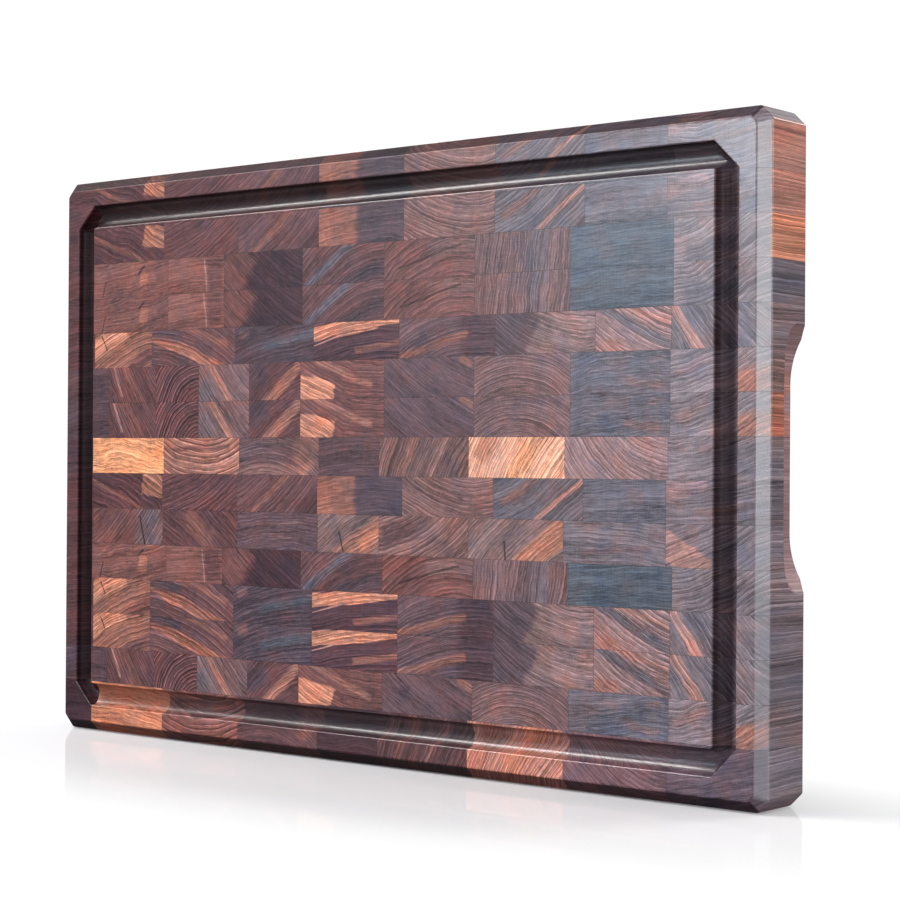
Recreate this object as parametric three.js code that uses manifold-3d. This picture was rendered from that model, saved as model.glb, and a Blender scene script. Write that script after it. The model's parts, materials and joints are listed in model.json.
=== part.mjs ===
// End-grain cutting board, standing on one long edge with its cutting face towards -Y.
// The board is glued up from crosscut strips. Every strip runs along X, shows end grain on the
// cutting face and the back face, and is stacked on the strip below it along Z.
// Millimetres, +Z up, origin in the middle of the board's underside as it stands.
import * as THREE from 'three';
import { mergeVertices } from 'three/addons/utils/BufferGeometryUtils.js';
import Module from 'manifold-3d';

const wasm = await Module();
wasm.setup();

// Driving dimensions of the board
const LENGTH = 457.2;
const WIDTH = 304.8;
const THICKNESS = 38.1;
const EDGE_BEVEL = 5.2;
const CORNER_CUT = 6;

// Strips: an inner strip is as high as the stock it was cut from, the two outer ones are wider
const STRIP_COUNT = 15;
const INNER_STRIP = 19.2;
const GLUE_LINE = 0.1;

// Juice groove: a round-bottomed channel around the cutting face
const GROOVE_INSET = 14.2;
const GROOVE_WIDTH = 12;
const GROOVE_DEPTH = 6;
const GROOVE_FLAT = 0.6;
const GROOVE_RIM = 0.4;
const GROOVE_CORNER_CUT = 12.5;
const GROOVE_STEPS = 6;

// Finger scoops: one in the back edge of each end, cut with a ball-nosed cutter
const SCOOP_LENGTH = 118;
const SCOOP_REACH = 10;
const SCOOP_RISE = 23;
const SCOOP_RAMP = 26;
const SCOOP_NOSE = 12;
const SCOOP_NOSE_STEPS = 6;
const SCOOP_RAMP_STEPS = 8;

// How far a cutter runs past the wood so that no cut ends on a face
const OVERRUN = 30;

const FRONT_Y = -THICKNESS / 2;
const BACK_Y = THICKNESS / 2;
const OUTER_STRIP = (WIDTH - (STRIP_COUNT - 2) * INNER_STRIP) / 2;

// Wood tones of the six glued panels that the strips were crosscut from
const PANEL_TONES = {
  a: 0x5b4038,
  b: 0x51403c,
  c: 0x6b4a3c,
  d: 0x5a3f38,
  e: 0x6f4d3a,
  f: 0x5e443b,
};
const PANEL_ORDER = ['e', 'd', 'c', 'c', 'b', 'f', 'a', 'e', 'd', 'd', 'c', 'b', 'b', 'a', 'a'];

// A closed three.js geometry as a solid that can be joined and cut
function toSolid(geometry) {
  const bare = geometry.clone();
  bare.deleteAttribute('normal');
  bare.deleteAttribute('uv');
  const merged = mergeVertices(bare);
  return new wasm.Manifold(new wasm.Mesh({
    numProp: 3,
    vertProperties: new Float32Array(merged.attributes.position.array),
    triVerts: new Uint32Array(merged.index.array),
  }));
}

// A solid back as a three.js geometry with its own flat normals
function toGeometry(solid) {
  const mesh = solid.getMesh();
  const indexed = new THREE.BufferGeometry();
  indexed.setAttribute('position', new THREE.BufferAttribute(mesh.vertProperties, 3));
  indexed.setIndex(new THREE.BufferAttribute(mesh.triVerts, 1));
  const flat = indexed.toNonIndexed();
  flat.computeVertexNormals();
  return flat;
}

// A shape drawn in X and Z, extruded along Y so that it starts at Y = start
function extrudeAlongY(shape, start, options) {
  const geometry = new THREE.ExtrudeGeometry(shape, options);
  geometry.rotateX(Math.PI / 2);
  geometry.translate(0, start + options.depth, 0);
  return geometry;
}

// A rectangle centred on the board in X and Z, inset from its edges, with its corners cut at
// 45 degrees, or left square where the cut is 0
function cutRectangle(inset, cut) {
  const right = LENGTH / 2 - inset;
  const low = inset;
  const high = WIDTH - inset;
  const shape = new THREE.Shape();
  shape.moveTo(-right + cut, low);
  shape.lineTo(right - cut, low);
  if (cut > 0) shape.lineTo(right, low + cut);
  shape.lineTo(right, high - cut);
  if (cut > 0) shape.lineTo(right - cut, high);
  shape.lineTo(-right + cut, high);
  if (cut > 0) shape.lineTo(-right, high - cut);
  shape.lineTo(-right, low + cut);
  shape.closePath();
  return shape;
}

// The slab: corners cut, and every edge of both faces bevelled at 45 degrees
function makeSlab() {
  const options = {
    depth: THICKNESS - 2 * EDGE_BEVEL,
    bevelEnabled: true,
    bevelThickness: EDGE_BEVEL,
    bevelSize: EDGE_BEVEL,
    bevelOffset: -EDGE_BEVEL,
    bevelSegments: 1,
  };
  return toSolid(extrudeAlongY(cutRectangle(0, CORNER_CUT), FRONT_Y + EDGE_BEVEL, options));
}

// The groove's cutter: a square-cornered ring with a short upright rim, whose two sides are then
// rounded down to a narrow flat bottom, trimmed to an outer outline with cut corners. The trimming
// outline is drawn larger by a margin, so that only its diagonals meet the ring.
function makeGrooveCutter() {
  const ring = cutRectangle(GROOVE_INSET, 0);
  ring.holes.push(cutRectangle(GROOVE_INSET + GROOVE_WIDTH, 0));
  const ringOptions = {
    depth: GROOVE_WIDTH + GROOVE_RIM,
    bevelEnabled: true,
    bevelThickness: GROOVE_DEPTH - GROOVE_RIM,
    bevelSize: (GROOVE_WIDTH - GROOVE_FLAT) / 2,
    bevelOffset: -(GROOVE_WIDTH - GROOVE_FLAT) / 2,
    bevelSegments: GROOVE_STEPS,
  };
  const channel = extrudeAlongY(ring, FRONT_Y - GROOVE_WIDTH, ringOptions);
  const margin = GROOVE_INSET / 2;
  const trim = extrudeAlongY(
    cutRectangle(GROOVE_INSET - margin, GROOVE_CORNER_CUT + 2 * margin),
    FRONT_Y - 2 * GROOVE_WIDTH,
    { depth: 4 * GROOVE_WIDTH, bevelEnabled: false },
  );
  return toSolid(channel).intersect(toSolid(trim));
}

// The right-hand scoop's cutter: an outline in X and Z that ramps in along an arc, runs straight
// and ramps out again, with the cutter's ball nose rounding its front end
function makeScoopCutter() {
  const half = SCOOP_LENGTH / 2;
  const arcRadius = (SCOOP_RAMP ** 2 + SCOOP_REACH ** 2) / (2 * SCOOP_REACH);
  const sweep = Math.asin(SCOOP_RAMP / arcRadius);
  const end = LENGTH / 2;
  const arcX = end - SCOOP_REACH + arcRadius;
  const middleZ = WIDTH / 2;
  const tangent = Math.tan(sweep);
  const outline = new THREE.Shape();
  outline.moveTo(end + OVERRUN, middleZ - half - OVERRUN * tangent);
  outline.lineTo(end + OVERRUN, middleZ + half + OVERRUN * tangent);
  for (let step = 0; step <= SCOOP_RAMP_STEPS; step += 1) {
    const angle = sweep * (1 - step / SCOOP_RAMP_STEPS);
    const x = arcX - arcRadius * Math.cos(angle);
    outline.lineTo(x, middleZ + half - SCOOP_RAMP + arcRadius * Math.sin(angle));
  }
  for (let step = 0; step <= SCOOP_RAMP_STEPS; step += 1) {
    const angle = sweep * step / SCOOP_RAMP_STEPS;
    const x = arcX - arcRadius * Math.cos(angle);
    outline.lineTo(x, middleZ - half + SCOOP_RAMP - arcRadius * Math.sin(angle));
  }
  outline.closePath();
  const options = {
    depth: SCOOP_RISE - SCOOP_NOSE + OVERRUN,
    bevelEnabled: true,
    bevelThickness: SCOOP_NOSE,
    bevelSize: SCOOP_NOSE,
    bevelOffset: -SCOOP_NOSE,
    bevelSegments: SCOOP_NOSE_STEPS,
  };
  return toSolid(extrudeAlongY(outline, BACK_Y - SCOOP_RISE + SCOOP_NOSE, options));
}

// The slice of the board between two heights
function sliceBoard(board, low, high) {
  const box = new THREE.BoxGeometry(LENGTH + 2 * OVERRUN, THICKNESS + 2 * OVERRUN, high - low);
  box.translate(0, 0, (low + high) / 2);
  return board.intersect(toSolid(box));
}

function makeBoard() {
  const rightScoop = makeScoopCutter();
  const leftScoop = rightScoop.rotate([0, 0, 180]).rotate([180, 0, 0]).translate([0, 0, WIDTH]);
  return makeSlab().subtract(makeGrooveCutter()).subtract(rightScoop).subtract(leftScoop);
}

const board = makeBoard();
const cuttingBoard = new THREE.Group();
let low = 0;
for (let index = 0; index < STRIP_COUNT; index += 1) {
  const outer = index === 0 || index === STRIP_COUNT - 1;
  const high = low + (outer ? OUTER_STRIP : INNER_STRIP);
  const bottom = index === 0 ? low : low + GLUE_LINE / 2;
  const top = index === STRIP_COUNT - 1 ? high : high - GLUE_LINE / 2;
  const material = new THREE.MeshStandardMaterial({
    color: PANEL_TONES[PANEL_ORDER[index]],
    roughness: 0.45,
    metalness: 0,
  });
  const strip = new THREE.Mesh(toGeometry(sliceBoard(board, bottom, top)), material);
  strip.name = `strip_${String(index + 1).padStart(2, '0')}`;
  cuttingBoard.add(strip);
  low = high;
}

export default cuttingBoard;
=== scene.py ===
"""Looks for an end-grain walnut cutting board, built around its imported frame.

The board is glued up from blocks. Each block is a piece of its own, cut out of one finely shaped
board, with its own growth rings, tone and marks. Blocks in strips cut from the same glued panel
repeat the same figure, as they do on a real board. The board is shaped in millimetres, with X
along its length, Y from the cutting face to the back and Z up, and is scaled to metres at the end.
"""

import json
import math
from collections import namedtuple

import bmesh
import bpy
from mathutils import Matrix, Vector

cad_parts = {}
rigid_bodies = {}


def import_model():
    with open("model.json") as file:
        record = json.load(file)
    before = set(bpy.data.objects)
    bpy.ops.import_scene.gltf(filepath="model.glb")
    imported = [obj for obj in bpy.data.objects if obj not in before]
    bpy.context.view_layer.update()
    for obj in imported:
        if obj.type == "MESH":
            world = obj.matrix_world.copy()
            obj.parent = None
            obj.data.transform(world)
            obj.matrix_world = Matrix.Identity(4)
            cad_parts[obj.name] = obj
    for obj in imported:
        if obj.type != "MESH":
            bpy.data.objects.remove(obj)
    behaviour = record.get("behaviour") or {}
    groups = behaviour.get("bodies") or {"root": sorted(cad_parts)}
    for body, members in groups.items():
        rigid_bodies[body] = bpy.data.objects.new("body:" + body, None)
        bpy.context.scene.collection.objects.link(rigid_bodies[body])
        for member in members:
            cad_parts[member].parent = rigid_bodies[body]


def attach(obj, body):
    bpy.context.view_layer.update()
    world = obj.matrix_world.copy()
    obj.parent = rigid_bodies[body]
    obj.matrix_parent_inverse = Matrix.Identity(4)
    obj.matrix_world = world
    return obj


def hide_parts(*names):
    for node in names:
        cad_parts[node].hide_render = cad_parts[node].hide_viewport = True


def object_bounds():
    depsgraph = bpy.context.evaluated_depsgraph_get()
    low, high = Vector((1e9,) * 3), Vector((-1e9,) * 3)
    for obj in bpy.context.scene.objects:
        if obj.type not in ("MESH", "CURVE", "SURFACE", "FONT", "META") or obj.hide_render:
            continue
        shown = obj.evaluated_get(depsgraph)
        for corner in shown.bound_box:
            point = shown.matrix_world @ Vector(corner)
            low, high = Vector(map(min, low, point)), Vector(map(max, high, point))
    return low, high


for leftover in list(bpy.data.objects):
    bpy.data.objects.remove(leftover)
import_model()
cad_low, cad_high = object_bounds()

METRES = 0.001

# The board, as the frame has it
LENGTH = (cad_high.x - cad_low.x) / METRES
WIDTH = (cad_high.z - cad_low.z) / METRES
FRONT_Y = cad_low.y / METRES
BACK_Y = cad_high.y / METRES
END_X = LENGTH / 2
MIDDLE_Z = WIDTH / 2
EDGE_BEVEL = 5.2
CORNER_CUT = 6.0
STRIP_COUNT = 15
INNER_STRIP = 19.2
OUTER_STRIP = (WIDTH - (STRIP_COUNT - 2) * INNER_STRIP) / 2

# Sanding takes every sharp edge down to a small radius
EASED = 1.5
EASED_STEPS = 5

# Juice groove
GROOVE_INSET = 14.2
GROOVE_WIDTH = 12.0
GROOVE_DEPTH = 6.0
GROOVE_CORNER_CUT = 12.5
GROOVE_RIM = 0.6
GROOVE_STEPS = 28
GROOVE_CORNER_RADIUS = 1.0
TRIM_MARGIN = 7.0

# Finger scoops
SCOOP_LENGTH = 118.0
SCOOP_REACH = 10.0
SCOOP_RISE = 23.0
SCOOP_RAMP = 26.0
SCOOP_NOSE = 12.0
SCOOP_NOSE_STEPS = 16
SCOOP_RAMP_STEPS = 20
SCOOP_RIM = 0.8
SCOOP_ARRIS = 0.6
SCOOP_ARRIS_STEPS = 3

# A point this near to a scoop's reach, its length, its depth and its rim is still told to be in it
REACH_SLACK = 1.0
LENGTH_SLACK = 3.0
RISE_SLACK = 1.0
RIM_SLACK = 0.2

# How far a cutter runs past the wood, and how far a block's outer side is from any glue line
OVERRUN = 20.0
HIDDEN_SIDE = 60.0
X_AXIS = 0
Z_AXIS = 2

# Edges that turn more than this are shaded sharp. Cuts nearer than MERGE share their points.
SHARP = math.radians(28)
MERGE = 1e-5


# ---------------- shaping the board


def eased_corners(points, radius, steps, closed=True):
    """A 2-D polyline with each corner turned on an arc of a radius."""
    made = []
    last = len(points) - 1
    for index, point in enumerate(points):
        here = Vector(point)
        if not closed and index in (0, last):
            made.append(here)
            continue
        back = (Vector(points[index - 1]) - here).normalized()
        ahead = (Vector(points[(index + 1) % len(points)]) - here).normalized()
        half = back.angle(ahead) / 2
        centre = here + (back + ahead).normalized() * (radius / math.sin(half))
        start = here + back * (radius / math.tan(half)) - centre
        end = here + ahead * (radius / math.tan(half)) - centre
        turn = start.angle_signed(end)
        for step in range(steps + 1):
            angle = -turn * step / steps
            arm = Vector((
                start.x * math.cos(angle) - start.y * math.sin(angle),
                start.x * math.sin(angle) + start.y * math.cos(angle),
            ))
            made.append(centre + arm)
    return made


def cut_rectangle(inset, cut, radius=EASED, steps=EASED_STEPS):
    """X and Z of a rectangle inset from the board's edges, with its corners cut at 45 degrees."""
    right = END_X - inset
    low = inset
    high = WIDTH - inset
    if cut <= 0:
        corners = [(-right, low), (right, low), (right, high), (-right, high)]
    else:
        corners = [
            (-right + cut, low), (right - cut, low), (right, low + cut), (right, high - cut),
            (right - cut, high), (-right + cut, high), (-right, high - cut), (-right, low + cut),
        ]
    return eased_corners(corners, radius, steps)


def offset_cut(cut, inset):
    """How long a corner cut is on an outline that lies inset inside the first, all sides parallel."""
    return cut - inset * (2 - math.sqrt(2))


def loft(loops, closed=False):
    """A closed mesh through loops of 3-D points: capped at both ends, or joined end to end."""
    mesh = bmesh.new()
    rows = [[mesh.verts.new(point) for point in loop] for loop in loops]
    pairs = list(zip(rows, rows[1:]))
    if closed:
        pairs.append((rows[-1], rows[0]))
    else:
        mesh.faces.new(rows[0])
        mesh.faces.new(rows[-1])
    for first, second in pairs:
        for index in range(len(first)):
            after = (index + 1) % len(first)
            mesh.faces.new((first[index], first[after], second[after], second[index]))
    bmesh.ops.recalc_face_normals(mesh, faces=mesh.faces)
    return mesh


def stack(levels):
    """A closed mesh from (y, outline in X and Z) levels."""
    return loft([[Vector((x, y, z)) for x, z in outline] for y, outline in levels])


def add_object(name, data):
    """A new object of the scene that holds a mesh, a light or a camera."""
    made = bpy.data.objects.new(name, data)
    bpy.context.scene.collection.objects.link(made)
    return made


def as_object(mesh, name):
    """A bmesh as an object of the scene. The bmesh is used up."""
    data = bpy.data.meshes.new(name)
    mesh.to_mesh(data)
    mesh.free()
    return add_object(name, data)


def combine(base, tool, operation):
    """base cut by tool, or what they share. Both are used up."""
    change = base.modifiers.new("cut", "BOOLEAN")
    change.object = tool
    change.operation = operation
    change.solver = "MANIFOLD"
    bpy.context.view_layer.update()
    shaped = bpy.data.meshes.new_from_object(
        base.evaluated_get(bpy.context.evaluated_depsgraph_get()))
    made = add_object(base.name, shaped)
    for used in (base, tool):
        bpy.data.objects.remove(used)
    return made


def slab():
    """The blank: edges bevelled at 45 degrees, corners cut, and every arris eased.

    The profile of (inset, y) starts and ends inside the faces, and those two points are dropped.
    """
    inside = EDGE_BEVEL + OVERRUN / 2
    side = [
        (inside, FRONT_Y), (EDGE_BEVEL, FRONT_Y), (0, FRONT_Y + EDGE_BEVEL),
        (0, BACK_Y - EDGE_BEVEL), (EDGE_BEVEL, BACK_Y), (inside, BACK_Y),
    ]
    profile = eased_corners(side, EASED, EASED_STEPS, closed=False)[1:-1]
    levels = [(y, cut_rectangle(inset, offset_cut(CORNER_CUT, inset))) for inset, y in profile]
    return as_object(stack(levels), "board")


def groove_section():
    """(inset, y) of the groove's half round from its inner rim to its outer one, rims eased."""
    half = GROOVE_WIDTH / 2
    rim = []
    for step in range(EASED_STEPS):
        angle = math.pi / 2 * step / EASED_STEPS
        rim.append((GROOVE_RIM * (math.sin(angle) - 1), GROOVE_RIM * (1 - math.cos(angle))))
    hollow = []
    for step in range(GROOVE_STEPS + 1):
        angle = math.pi * step / GROOVE_STEPS
        depth = GROOVE_RIM + (GROOVE_DEPTH - GROOVE_RIM) * math.sin(angle)
        hollow.append((half - half * math.cos(angle), depth))
    far_rim = [(GROOVE_WIDTH - across, depth) for across, depth in reversed(rim)]
    return rim + hollow + far_rim


def groove_cutter():
    """The groove as a mitred ring, trimmed so that its outer corners are cut at 45 degrees."""
    section = groove_section()
    above = [(section[-1][0], -OVERRUN), (section[0][0], -OVERRUN)]
    loops = []
    for across, depth in section + above:
        outline = cut_rectangle(
            GROOVE_INSET + GROOVE_WIDTH - across, 0, GROOVE_CORNER_RADIUS)
        loops.append([Vector((x, FRONT_Y + depth, z)) for x, z in outline])
    ring = as_object(loft(loops, closed=True), "groove")
    levels = []
    outer_half = section[:len(section) // 2 + 1]
    for across, depth in [(outer_half[0][0], -OVERRUN * 2)] + outer_half:
        cut = offset_cut(GROOVE_CORNER_CUT, across)
        inset = GROOVE_INSET + across - TRIM_MARGIN
        levels.append((FRONT_Y + depth, cut_rectangle(inset, cut + 2 * TRIM_MARGIN)))
    trim = as_object(stack(levels + [(FRONT_Y + OVERRUN, levels[-1][1])]), "trim")
    return combine(ring, trim, "INTERSECT")


def scoop_outline(inward, side):
    """X and Z of the scoop drawn with its wall moved inward, towards the end of the board.

    The wall is an arc at each ramp. Past the end of the board it runs on straight, less steeply.
    """
    wall = (SCOOP_RAMP ** 2 + SCOOP_REACH ** 2) / (2 * SCOOP_REACH)
    sweep = math.asin(SCOOP_RAMP / wall)
    centre_x = END_X - SCOOP_REACH + wall
    turn_z = SCOOP_LENGTH / 2 - SCOOP_RAMP
    radius = wall - inward
    half = []
    for step in range(SCOOP_RAMP_STEPS + 1):
        angle = sweep * step / SCOOP_RAMP_STEPS
        half.append((centre_x - radius * math.cos(angle), turn_z + radius * math.sin(angle)))
    x, z = half[-1]
    half.append((x + OVERRUN, z + OVERRUN * math.tan(math.pi / 2 - sweep) / 2))
    outline = [(x, MIDDLE_Z + z) for x, z in reversed(half)]
    outline += [(x, MIDDLE_Z - z) for x, z in half]
    return [(side * x, z) for x, z in outline]


def scoop_cutter(side):
    """A finger scoop: a wall that ramps in from the end, cut with a ball-nosed cutter."""
    nose_y = BACK_Y - SCOOP_RISE + SCOOP_NOSE
    levels = []
    for step in range(SCOOP_NOSE_STEPS + 1):
        angle = math.pi / 2 * step / SCOOP_NOSE_STEPS
        inward = SCOOP_NOSE * (1 - math.sin(angle))
        levels.append((nose_y - SCOOP_NOSE * math.cos(angle), scoop_outline(inward, side)))
    for step in range(EASED_STEPS + 1):
        angle = math.pi / 2 * step / EASED_STEPS
        outward = SCOOP_RIM * (1 - math.cos(angle))
        levels.append((BACK_Y - SCOOP_RIM * (1 - math.sin(angle)), scoop_outline(-outward, side)))
    levels.append((BACK_Y + OVERRUN, levels[-1][1]))
    return as_object(stack(levels), "scoop")


def shaped_board():
    """The whole board as one mesh, before it is sliced into blocks."""
    board = combine(slab(), groove_cutter(), "DIFFERENCE")
    for side in (1, -1):
        board = combine(board, scoop_cutter(side), "DIFFERENCE")
    mesh = bmesh.new()
    mesh.from_mesh(board.data)
    bpy.data.objects.remove(board)
    return mesh


def keep_side(mesh, axis, at, keep_above):
    """Cuts a mesh at a plane across an axis, keeps one side and closes the cut."""
    normal = Vector((0, 0, 0))
    normal[axis] = -1 if keep_above else 1
    point = Vector((0, 0, 0))
    point[axis] = at
    bmesh.ops.bisect_plane(
        mesh, geom=mesh.verts[:] + mesh.edges[:] + mesh.faces[:], dist=MERGE,
        plane_co=point, plane_no=normal, clear_outer=True)
    rim = [edge for edge in mesh.edges if edge.is_boundary]
    if rim:
        bmesh.ops.holes_fill(mesh, edges=rim, sides=0)


def slice_between(mesh, axis, low, high):
    """A copy of a mesh between two planes across an axis, closed."""
    part = mesh.copy()
    if low is not None:
        keep_side(part, axis, low, True)
    if high is not None:
        keep_side(part, axis, high, False)
    return part


def ease_scoop_rims(mesh):
    """Rounds the sharp edge where each scoop breaks through the end of the board."""
    rims = []
    for edge in mesh.edges:
        if edge.calc_face_angle(0) < SHARP:
            continue
        if all(in_scoop(vertex.co) for vertex in edge.verts):
            rims.append(edge)
    bmesh.ops.bevel(
        mesh, geom=rims, offset=SCOOP_ARRIS, offset_type="OFFSET", segments=SCOOP_ARRIS_STEPS,
        profile=0.5, affect="EDGES", clamp_overlap=True)


def in_scoop(point):
    """Whether a point of the surface, in millimetres, lies inside a scoop's rim."""
    near_end = abs(point.x) > END_X - SCOOP_REACH - REACH_SLACK
    beside = abs(point.z - MIDDLE_Z) < SCOOP_LENGTH / 2 + LENGTH_SLACK
    front = BACK_Y - SCOOP_RISE - RISE_SLACK
    back = BACK_Y - SCOOP_RIM - RIM_SLACK
    return near_end and beside and front < point.y < back


# ---------------- the wood

# Albedos of the heartwood and sapwood, as 8-bit sRGB
TONES = {
    "soot": (34, 22, 24),
    "plum": (62, 41, 48),
    "ink": (76, 61, 69),
    "maroon": (76, 51, 58),
    "umber": (86, 55, 58),
    "mulberry": (93, 61, 63),
    "bark": (84, 62, 67),
    "cocoa": (96, 66, 68),
    "chestnut": (106, 69, 67),
    "russet": (118, 77, 72),
    "heather": (92, 70, 76),
    "walnut": (106, 78, 76),
    "taupe": (110, 83, 84),
    "fawn": (120, 87, 84),
    "ash": (96, 87, 94),
    "slate": (96, 91, 101),
    "steel": (79, 85, 96),
    "haze": (109, 97, 103),
    "dove": (121, 107, 112),
    "sand": (118, 93, 92),
    "blush": (140, 110, 110),
    "fox": (134, 88, 76),
    "clay": (154, 105, 92),
    "rose": (168, 122, 112),
    "copper": (154, 97, 80),
    "tan": (178, 118, 94),
    "amber": (200, 134, 108),
    "honey": (232, 156, 112),
    "cream": (218, 157, 130),
}

# A mark is a soft-edged patch of another colour: sapwood, a stain, a streak, a knot or a crack.
# Its x runs from the board's left edge and its z from the middle of the strip, in millimetres.
# It is turned by an angle in degrees, and its edge is soft over a distance in millimetres.
Mark = namedtuple(
    "Mark", "tint x z width height turn soft strength", defaults=(0, 1.0, 0.85))

# A block ends at a distance from the board's left edge. Its growth rings rise to the right at an
# angle in degrees, on a radius in millimetres that is positive where they curve upwards.
Block = namedtuple("Block", "end tone angle bow spacing contrast wave marks", defaults=((),))

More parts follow.
